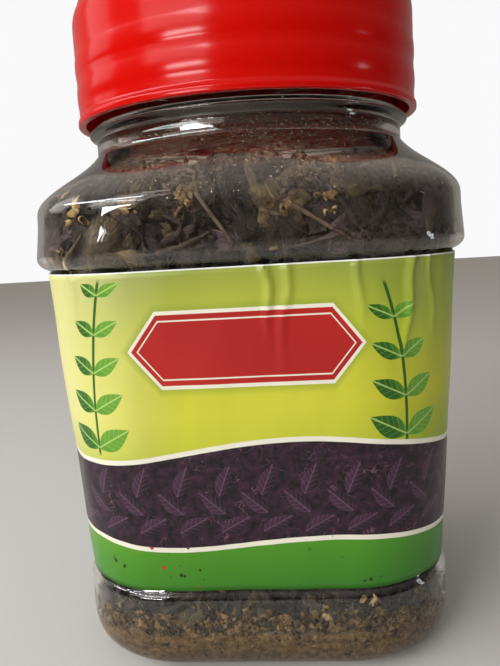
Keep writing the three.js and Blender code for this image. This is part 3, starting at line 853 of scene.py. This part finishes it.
def crumb_top(x, y):
    a, b = x / MM, y / MM
    rise = 1.1 * sin(a / 9 + 1.2) * cos(b / 8) + 0.7 * sin((a - b) / 5)
    return CRUMB_TOP + rise * MM


def random_way():
    way = Vector((draw.gauss(0, 1), draw.gauss(0, 1), draw.gauss(0, 1)))
    return way.normalized()


def filling_mesh():
    """An empty mesh for copies of shapes, each with a tint of its own."""
    made = bmesh.new()
    made.loops.layers.uv.new("blade")
    made.verts.layers.float.new("tint")
    return made


def thickened(made, thickness):
    """Gives an open sheet a back, as an even step along its normals."""
    made.normal_update()
    ways = {vert.co.to_tuple(): vert.normal.copy() for vert in made.verts}
    grown = bmesh.ops.extrude_face_region(made, geom=made.faces[:], use_keep_orig=True)["geom"]
    for vert in (item for item in grown if isinstance(item, bmesh.types.BMVert)):
        vert.co -= ways[vert.co.to_tuple()] * thickness
    bmesh.ops.recalc_face_normals(made, faces=made.faces[:])


def leaf_scrap(columns, rows, crumpling, thickness):
    """One scrap as a crumpled sheet 1 long, torn round its edge and folded along its rib."""
    made = bmesh.new()
    made.loops.layers.uv.new("blade")
    bmesh.ops.create_grid(made, x_segments=columns, y_segments=rows, size=0.5, calc_uvs=True)
    width = draw.uniform(0.4, 0.8)
    fold = draw.uniform(-0.3, 0.9)
    roll = draw.uniform(-1.2, 1.2)
    twist = draw.uniform(-1.1, 1.1)
    seed = draw.uniform(0, 90)
    for vert in made.verts:
        u, v = vert.co.x, vert.co.y
        full = 0.3 + 0.7 * sqrt(max(1 - (2 * u) ** 2, 0))
        torn = 1 + 0.9 * noise.noise(Vector((u * 5, v * 5, seed)))
        x = u * (1 - 0.25 * (2 * v) ** 2) * torn
        y = v * width * full * torn
        crumple = noise.noise(Vector((u * 3, v * 3, seed + 20))) * 0.24
        crumple += noise.noise(Vector((u * 9, v * 7, seed + 40))) * 0.16
        z = fold * abs(y) + roll * x * x * 0.7 + crumple * crumpling
        turn = twist * x
        vert.co = (x, y * cos(turn) - z * sin(turn), y * sin(turn) + z * cos(turn))
    thickened(made, thickness)
    scrap = bpy.data.meshes.new("scrap")
    made.to_mesh(scrap)
    made.free()
    return scrap


def cast(made, shape, matrix, tint=0.0, inset=0.0, thick=0.0, over=None):
    """Adds a copy of a shape, placed by a matrix and kept in the jar: a scrap's back lies behind its face."""
    layer = made.verts.layers.float["tint"]
    count = len(shape.vertices)
    made.from_mesh(shape)
    made.verts.ensure_lookup_table()
    for k, vert in enumerate(made.verts[-count:]):
        behind = thick if 2 * k >= count else 0
        place = matrix @ vert.co
        if thick:
            place.z -= max(place.z - SCRAP_HIGH, 0) * 0.8
        vert.co = kept_in(place, inset + behind)
        if over:
            vert.co.z = max(vert.co.z, over(vert.co.x, vert.co.y))
        vert[layer] = tint


def lying(place, off, size):
    """A matrix that lays a shape at a place with its face towards off and turns it at random."""
    tilt = off.to_track_quat("Z", "Y")
    spin_round = Quaternion((0, 0, 1), draw.uniform(0, 2 * pi))
    return Matrix.Translation(place) @ (tilt @ spin_round).to_matrix().to_4x4() @ Matrix.Scale(size, 4)


MOTTLE_ROUGHNESS = 0.65


def mottled(name, stops, scale, relief, roughness=0.8, blade=False):
    """A dull plant material whose colours come from noise, the tint of each copy and its veins."""
    material, shader = principled(name, stops[1][1], Roughness=roughness)
    shader.inputs["Specular IOR Level"].default_value = 0.3
    tree = material.node_tree
    Ink.tree = tree
    place = tree.nodes.new("ShaderNodeTexCoord").outputs["Object"]
    own = tree.nodes.new("ShaderNodeAttribute")
    own.attribute_name = "tint"
    tone = noise_over(place, scale, 5, MOTTLE_ROUGHNESS) + Ink(own.outputs["Fac"])
    height = noise_over(place, scale * 3, 4, MOTTLE_ROUGHNESS)
    if blade:
        uv = tree.nodes.new("ShaderNodeUVMap")
        uv.uv_map = "blade"
        split = tree.nodes.new("ShaderNodeSeparateXYZ")
        tree.links.new(uv.outputs["UV"], split.inputs["Vector"])
        along = Ink(split.outputs["X"])
        aside = (Ink(split.outputs["Y"]) - 0.5).size()
        rib = (aside * -1 + 0.03).edge(-0.025, 0.01)
        veins = ((along - aside * 0.9) * 38).sine().edge(0.82, 1)
        lines = rib.most(veins * 0.6)
        tone = tone + lines * 0.16
        height = height - lines * 0.7
    tree.links.new(tone.ramp(stops), shader.inputs["Base Color"])
    bump = tree.nodes.new("ShaderNodeBump")
    bump.inputs["Strength"].default_value = 0.9
    bump.inputs["Distance"].default_value = relief
    tree.links.new(height.socket, bump.inputs["Height"])
    tree.links.new(bump.outputs["Normal"], shader.inputs["Normal"])
    return material


PURPLE_BLACK = ((0.3, (0.005, 0.003, 0.003)), (0.6, (0.019, 0.013, 0.014)), (0.9, (0.08, 0.055, 0.055)))
GREY_PURPLE = ((0.3, (0.014, 0.01, 0.011)), (0.6, (0.065, 0.043, 0.05)), (0.9, (0.18, 0.125, 0.13)))
OLIVE_BROWN = ((0.3, (0.014, 0.01, 0.005)), (0.6, (0.06, 0.043, 0.02)), (0.9, (0.19, 0.14, 0.065)))
LEAF_GRAIN = 260
LEAF_RELIEF = 0.5 * MM
leaf_looks = {
    "dark_leaves": mottled("purple_black_leaf", PURPLE_BLACK, LEAF_GRAIN, LEAF_RELIEF, blade=True),
    "grey_leaves": mottled("grey_purple_leaf", GREY_PURPLE, LEAF_GRAIN, LEAF_RELIEF, blade=True),
    "brown_leaves": mottled("olive_brown_leaf", OLIVE_BROWN, LEAF_GRAIN, LEAF_RELIEF, blade=True),
}


def core_profile():
    path = [Vector((0, CRUMB_TOP + 1.5 * MM))]
    path += straight(path[-1], (room_half(CRUMB_TOP) - CORE_INSET, CRUMB_TOP + 1.5 * MM), 12)
    side = [p for p in wall_line if CRUMB_TOP + 2 * MM < p.y < HEAP_TOP - 1.5 * MM]
    path += [Vector((p.x - CORE_INSET, p.y)) for p in side]
    path += straight(path[-1], (0, HEAP_TOP), 14)
    return path


core = squared(spun(core_profile(), CORE_STEPS))
core.loops.layers.uv.new("blade")
core.verts.layers.float.new("tint")
for vert in core.verts:
    x, y, z = vert.co
    if z > HEAP_TOP - 0.1 * MM:
        vert.co.z = heap_top(x, y) - 2.5 * MM
    lump = noise.noise(vert.co * 170) * 1.6 + noise.noise(vert.co * 420)
    vert.co += Vector((x, y, 0)).normalized() * lump * MM
    vert.co.z += noise.noise(vert.co * 300) * 0.9 * MM
core_look = mottled("leaf_mass", PURPLE_BLACK, 420, 1.5 * MM)
piece("leaf_core", core, core_look, "jar", "dried_basil", smooth=False)

scraps = [leaf_scrap(6, 4, 0.85, 0.016) for _ in range(SCRAP_KINDS)]
bits = [leaf_scrap(3, 2, 1.4, 0.05) for _ in range(SCRAP_KINDS)]
leaves = {name: filling_mesh() for name in leaf_looks}


def lay_scraps(count, shapes, low, high, sizes, depth):
    """Scraps laid against the wall between two heights, at several depths."""
    for _ in range(count):
        angle = draw.uniform(0, 2 * pi)
        z = draw.uniform(low, high)
        place = wall_place(angle, z, draw.uniform(0.2 * MM, depth))
        off = (Vector((cos(angle), sin(angle), 0)) + random_way() * draw.choice((0.2, 0.5, 1.1))).normalized()
        kind = draw.choices(list(leaves), LEAF_SHARES)[0]
        matrix = lying(place, off, draw.uniform(*sizes))
        tint = draw.gauss(-0.02, 0.1)
        pressed = draw.uniform(0.1, 1.1) * MM
        cast(leaves[kind], draw.choice(shapes), matrix, tint, pressed, SCRAP_THICK, crumb_top)


def strew_scraps(count, shapes, sizes, low, high):
    """Scraps strewn over the top of the heap."""
    for _ in range(count):
        place = wall_place(draw.uniform(0, 2 * pi), HEAP_TOP, 3 * MM)
        place.xy *= sqrt(draw.random())
        place.z = heap_top(place.x, place.y) + draw.uniform(low, high)
        off = (Vector((0, 0, 1)) + random_way() * draw.uniform(0.2, 1)).normalized()
        kind = draw.choices(list(leaves), LEAF_SHARES)[0]
        matrix = lying(place, off, draw.uniform(*sizes))
        cast(leaves[kind], draw.choice(shapes), matrix, draw.gauss(-0.02, 0.1), 0, SCRAP_THICK)


lay_scraps(480, scraps, SHOULDER_BOTTOM - 4 * MM, HEAP_TOP - 1 * MM, (7 * MM, 18 * MM), 6 * MM)
lay_scraps(520, bits, SHOULDER_BOTTOM - 4 * MM, HEAP_TOP, (1.5 * MM, 5 * MM), 4 * MM)
lay_scraps(230, scraps, CRUMB_TOP + 1 * MM, PANEL_BOTTOM + 3 * MM, (5 * MM, 13 * MM), 4.5 * MM)
lay_scraps(500, bits, CRUMB_TOP, PANEL_BOTTOM + 2 * MM, (1.5 * MM, 5 * MM), 3 * MM)
lay_scraps(200, scraps, PANEL_BOTTOM, PANEL_TOP, (8 * MM, 15 * MM), 6 * MM)
strew_scraps(360, scraps, (6 * MM, 15 * MM), -3 * MM, 1 * MM)
strew_scraps(400, bits, (2 * MM, 5 * MM), -1 * MM, 1.5 * MM)
for name, made in leaves.items():
    piece(name, made, leaf_looks[name], "jar", "dried_basil")


# The stalks: bits of thin woody stem, and the golden dry cups that held the flowers, which lie among
# the leaves against the plastic. Places at the front are millimetres to the right and up.
FRONT_STALKS = (
    ((11, 104), (16, 100.5), (22, 96)),
    ((5, 103), (8, 101.6), (11, 101.4)),
    ((-17, 95.4), (-11, 96.6), (-6, 99)),
    ((-33, 95), (-31.5, 97), (-30, 100)),
    ((-9, 108), (-6, 103), (-1, 96.5)),
    ((20, 108.5), (20.4, 110), (20.6, 111.5)),
    ((30, 107), (30.3, 108.6), (30.8, 110)),
)
FRONT_CUPS = ((-11, 106, 8), (-32, 103.5, 7), (10, 103.8, 9), (18, 103, 7), (20.5, 111, 3), (-35, 96, 5))
FRONT_STALK_RADIUS = 0.55 * MM
OTHER_STALKS = 34
OTHER_CUPS = 26
LEAF_ZONES = ((CRUMB_TOP + 2 * MM, PANEL_BOTTOM), (SHOULDER_BOTTOM, HEAP_TOP))


def rod(made, path, radius):
    """A thin rod that tapers along its path."""
    layer = made.verts.layers.float["tint"]
    tint = draw.gauss(0, 0.1)
    turns = [(path[min(k + 1, len(path) - 1)] - path[max(k - 1, 0)]) for k in range(len(path))]
    ring = bmesh.ops.create_circle(made, cap_ends=True, segments=6, radius=radius)["verts"]
    rim = [vert.co.copy() for vert in ring]
    for k, (place, way) in enumerate(zip(path, turns)):
        if k:
            end = next(face for face in ring[0].link_faces if all(v in face.verts for v in ring))
            grown = bmesh.ops.extrude_discrete_faces(made, faces=[end])["faces"][0]
            ring = list(grown.verts)
        facing_way = way.to_track_quat("Z", "Y")
        for vert, spot in zip(ring, rim):
            vert.co = place + facing_way @ (spot * (1 - 0.4 * k / len(path)))
            vert[layer] = tint


def front_angle(x, z):
    """The direction from the jar's axis to a place on its front wall x to the right."""
    return -pi / 2 + asin(min(max(x * MM / room_half(z * MM), -0.98), 0.98)) * 0.92


def stalk_route(ends, inset):
    """A bent way between two ends, kept off the wall."""
    return [kept_in(place, inset) for place in ends[:1] + bend(*ends, 6)]


stalks = filling_mesh()
for way in FRONT_STALKS:
    ends = [wall_place(front_angle(x, z), z * MM) for x, z in way]
    rod(stalks, stalk_route(ends, 0.5 * MM), FRONT_STALK_RADIUS)
for k in range(OTHER_STALKS):
    angle = draw.uniform(-pi / 4, 5 * pi / 4)
    low, high = LEAF_ZONES[k % 2]
    heights = [draw.uniform(low, high) for _ in range(3)]
    reach = draw.uniform(0.06, 0.22)
    ends = [wall_place(angle + i * reach, z, draw.uniform(0.8, 3) * MM) for i, z in enumerate(heights)]
    rod(stalks, stalk_route(ends, 0.7 * MM), draw.uniform(0.4, 0.8) * MM)
STALK_BROWN = ((0.3, (0.03, 0.019, 0.013)), (0.55, (0.10, 0.068, 0.045)), (0.85, (0.24, 0.17, 0.1)))
stalk_look = mottled("dry_stalk", STALK_BROWN, 500, 0.4 * MM)
piece("flower_stalks", stalks, stalk_look, "jar", "dried_basil")

cup_path = [Vector(p) for p in ((0.12, 0), (0.3, 0.25), (0.42, 0.65), (0.5, 1))]
cup_made = spun(cup_path, 8)
for vert in cup_made.verts:
    wave = 1 + 0.25 * sin(5 * atan2(vert.co.y, vert.co.x)) * vert.co.z
    vert.co = (vert.co.x * wave, vert.co.y * 0.6, vert.co.z * wave)
thickened(cup_made, 0.05)
cup_shape = bpy.data.meshes.new("cup")
cup_made.to_mesh(cup_shape)
cup_made.free()
cups = filling_mesh()
clusters = [(front_angle(x, z), z * MM, count) for x, z, count in FRONT_CUPS]
for k in range(OTHER_CUPS):
    low, high = LEAF_ZONES[k % 2]
    clusters.append((draw.uniform(0, 2 * pi), draw.uniform(low, high), draw.choice((1, 2, 3, 6))))
for angle, z, count in clusters:
    for _ in range(count):
        place = wall_place(angle, z, 1 * MM) + random_way() * draw.uniform(0.5, 2.2) * MM
        out = Vector((cos(angle), sin(angle), 0))
        way = (random_way() + Vector((0, 0, 0.4))).cross(out) + out * 0.3
        cast(cups, cup_shape, lying(place, way.normalized(), draw.uniform(1.4, 2.7) * MM), draw.gauss(0, 0.1))
CUP_GOLD = ((0.3, (0.07, 0.042, 0.016)), (0.55, (0.25, 0.16, 0.06)), (0.85, (0.5, 0.37, 0.16)))
cup_look = mottled("dry_cup", CUP_GOLD, 700, 0.3 * MM)
piece("flower_cups", cups, cup_look, "jar", "dried_basil")


# The crumbs: leaf dust and broken bits that have sifted through the leaves to the bottom of the jar,
# brown and dull with paler flecks. The finest of it clings to the plastic above the leaves, and in the
# neck that film is painted dark, as painted shade under the lid over the dust.
BED_STEPS = 160
GRAIN_COUNT = 1600
CHIP_COUNT = 3400
SPECK_COUNT = 1500
FILM_LOW = 95 * MM
FILM_HIGH = 127 * MM
BED_SUNK = 0.25 * MM
CRUMB_BROWN = ((0.3, (0.035, 0.02, 0.007)), (0.5, (0.16, 0.095, 0.034)), (0.75, (0.34, 0.215, 0.09)))
CHIP_BROWN = ((0.25, (0.02, 0.012, 0.006)), (0.5, (0.13, 0.08, 0.03)), (0.8, (0.3, 0.195, 0.09)))
crumb_look = mottled("leaf_crumb", CRUMB_BROWN, 700, 0.8 * MM, 0.95)
chip_look = mottled("leaf_chip", CHIP_BROWN, 400, 0.4 * MM, 0.95)
bed_path = [Vector(p) for p in reversed(inner_profile(-BED_SUNK)) if p[1] < CRUMB_TOP]
bed_path += straight(bed_path[-1], (0, CRUMB_TOP), 20)
bed = squared(spun(bed_path, BED_STEPS))
bed.verts.layers.float.new("tint")
for vert in bed.verts:
    if vert.co.z > CRUMB_TOP - 0.1 * MM:
        vert.co.z = crumb_top(vert.co.x, vert.co.y)
piece("crumb_bed", bed, crumb_look, "jar", "basil_crumbs")

grain_made = bmesh.new()
bmesh.ops.create_icosphere(grain_made, subdivisions=1, radius=1)
for vert in grain_made.verts:
    vert.co *= 1 + 0.5 * noise.noise(vert.co * 2)
grain_shape = bpy.data.meshes.new("grain")
grain_made.to_mesh(grain_shape)
grain_made.free()


def strew_grain(made, place, size, inset=0.0):
    flat = Matrix.Diagonal((1, draw.uniform(0.4, 1), draw.uniform(0.25, 0.7), 1))
    cast(made, grain_shape, lying(place, random_way(), size) @ flat, draw.gauss(0, 0.12), inset)


grains = filling_mesh()
for _ in range(GRAIN_COUNT):
    angle = draw.uniform(0, 2 * pi)
    place = wall_place(angle, CRUMB_TOP, 1 * MM)
    place.xy *= sqrt(draw.uniform(0.55, 1))
    place.z = crumb_top(place.x, place.y) + draw.uniform(-0.6, 0.6) * MM
    strew_grain(grains, place, draw.uniform(0.3, 1.2) * MM)
piece("crumb_grains", grains, crumb_look, "jar", "basil_crumbs", smooth=False)

chips = filling_mesh()
for _ in range(CHIP_COUNT):
    angle = draw.uniform(0, 2 * pi)
    z = draw.choice((draw.uniform(1.2, 13.5), draw.uniform(1.2, 13.5), draw.gauss(13, 1.6))) * MM
    inset = -WALL_CLEAR - draw.uniform(0.3, 0.5) * MM
    off = (Vector((cos(angle), sin(angle), 0)) + random_way() * draw.uniform(0.2, 0.9)).normalized()
    matrix = lying(wall_place(angle, z, inset + 0.3 * MM), off, draw.uniform(0.6, 2.5) * MM)
    cast(chips, draw.choice(bits), matrix, draw.gauss(0, 0.16), inset, SCRAP_THICK)
piece("crumb_chips", chips, chip_look, "jar", "basil_crumbs")

specks = filling_mesh()
for _ in range(SPECK_COUNT):
    angle = draw.gauss(-pi / 2 + 0.35, 1.1)
    z = draw.choice((draw.gauss(119.5, 2), draw.uniform(106, 126))) * MM
    size = draw.uniform(0.06, 0.22) * MM
    strew_grain(specks, wall_place(angle, z), size, -0.04 * MM)
SPECK_TAN = ((0.3, (0.20, 0.14, 0.08)), (0.5, (0.42, 0.31, 0.19)), (0.75, (0.62, 0.5, 0.34)))
speck_look = mottled("leaf_dust", SPECK_TAN, 1500, 0.2 * MM, 0.95)
piece("dust_specks", specks, speck_look, "jar", "basil_crumbs", smooth=False)


DUST_TAN = (0.27, 0.195, 0.135)
# Painted shade: this dark colour turns the film in the neck into the shadow under the lid.
PAINTED_NECK_SHADE = (0.05, 0.028, 0.02)
DUST_ROUGHNESS = 0.7


def dust_and_shade_haze():
    """Dust so fine that it only dulls the plastic: tan over the leaves, and in the neck dark, as dust with
    painted shade from the lid laid over it.
    """
    material, shader = principled("dust_and_shade_haze", DUST_TAN, Roughness=1)
    shader.inputs["Specular IOR Level"].default_value = 0
    tree = material.node_tree
    Ink.tree = tree
    place = tree.nodes.new("ShaderNodeTexCoord").outputs["Object"]
    split = tree.nodes.new("ShaderNodeSeparateXYZ")
    tree.links.new(place, split.inputs["Vector"])
    z = Ink(split.outputs["Z"])
    band = z.edge(107 * MM, 113 * MM) * (z.edge(114 * MM, 119 * MM) * -1 + 1)
    # Painted shade: in the neck the film is dark, standing in for the lid's shadow as well as dust.
    neck = z.edge(115 * MM, 119 * MM)
    patches = noise_over(place, 60, 6, DUST_ROUGHNESS).edge(0.42, 0.62)
    grain = noise_over(place, 1500, 3, DUST_ROUGHNESS).edge(0.44, 0.62)
    veil = patches * grain * (band * 0.5 + 0.08)
    neck_patches = noise_over(place, 110, 6, DUST_ROUGHNESS).edge(0.3, 0.6)
    neck_grain = noise_over(place, 1200, 3, DUST_ROUGHNESS).edge(0.35, 0.6)
    # The neck's film is dust patches, darkened as painted shade under the lid.
    neck_dust_and_shade = neck_patches * neck_grain * neck * 0.5
    tree.links.new(veil.most(neck_dust_and_shade).socket, shader.inputs["Alpha"])
    tree.links.new(overprint(DUST_TAN, PAINTED_NECK_SHADE, neck), shader.inputs["Base Color"])
    return material


haze_line = [p for p in inner_profile(0.06 * MM) if FILM_LOW < p.y < FILM_HIGH]
haze_back = [p for p in reversed(inner_profile(0.1 * MM)) if FILM_LOW < p.y < FILM_HIGH]
haze = squared(spun(haze_line + haze_back, ROUND_STEPS, closed=True))
# The film is dust, with painted shade in the neck.
piece("dust_and_shade_film", haze, dust_and_shade_haze(), "jar", "basil_crumbs")
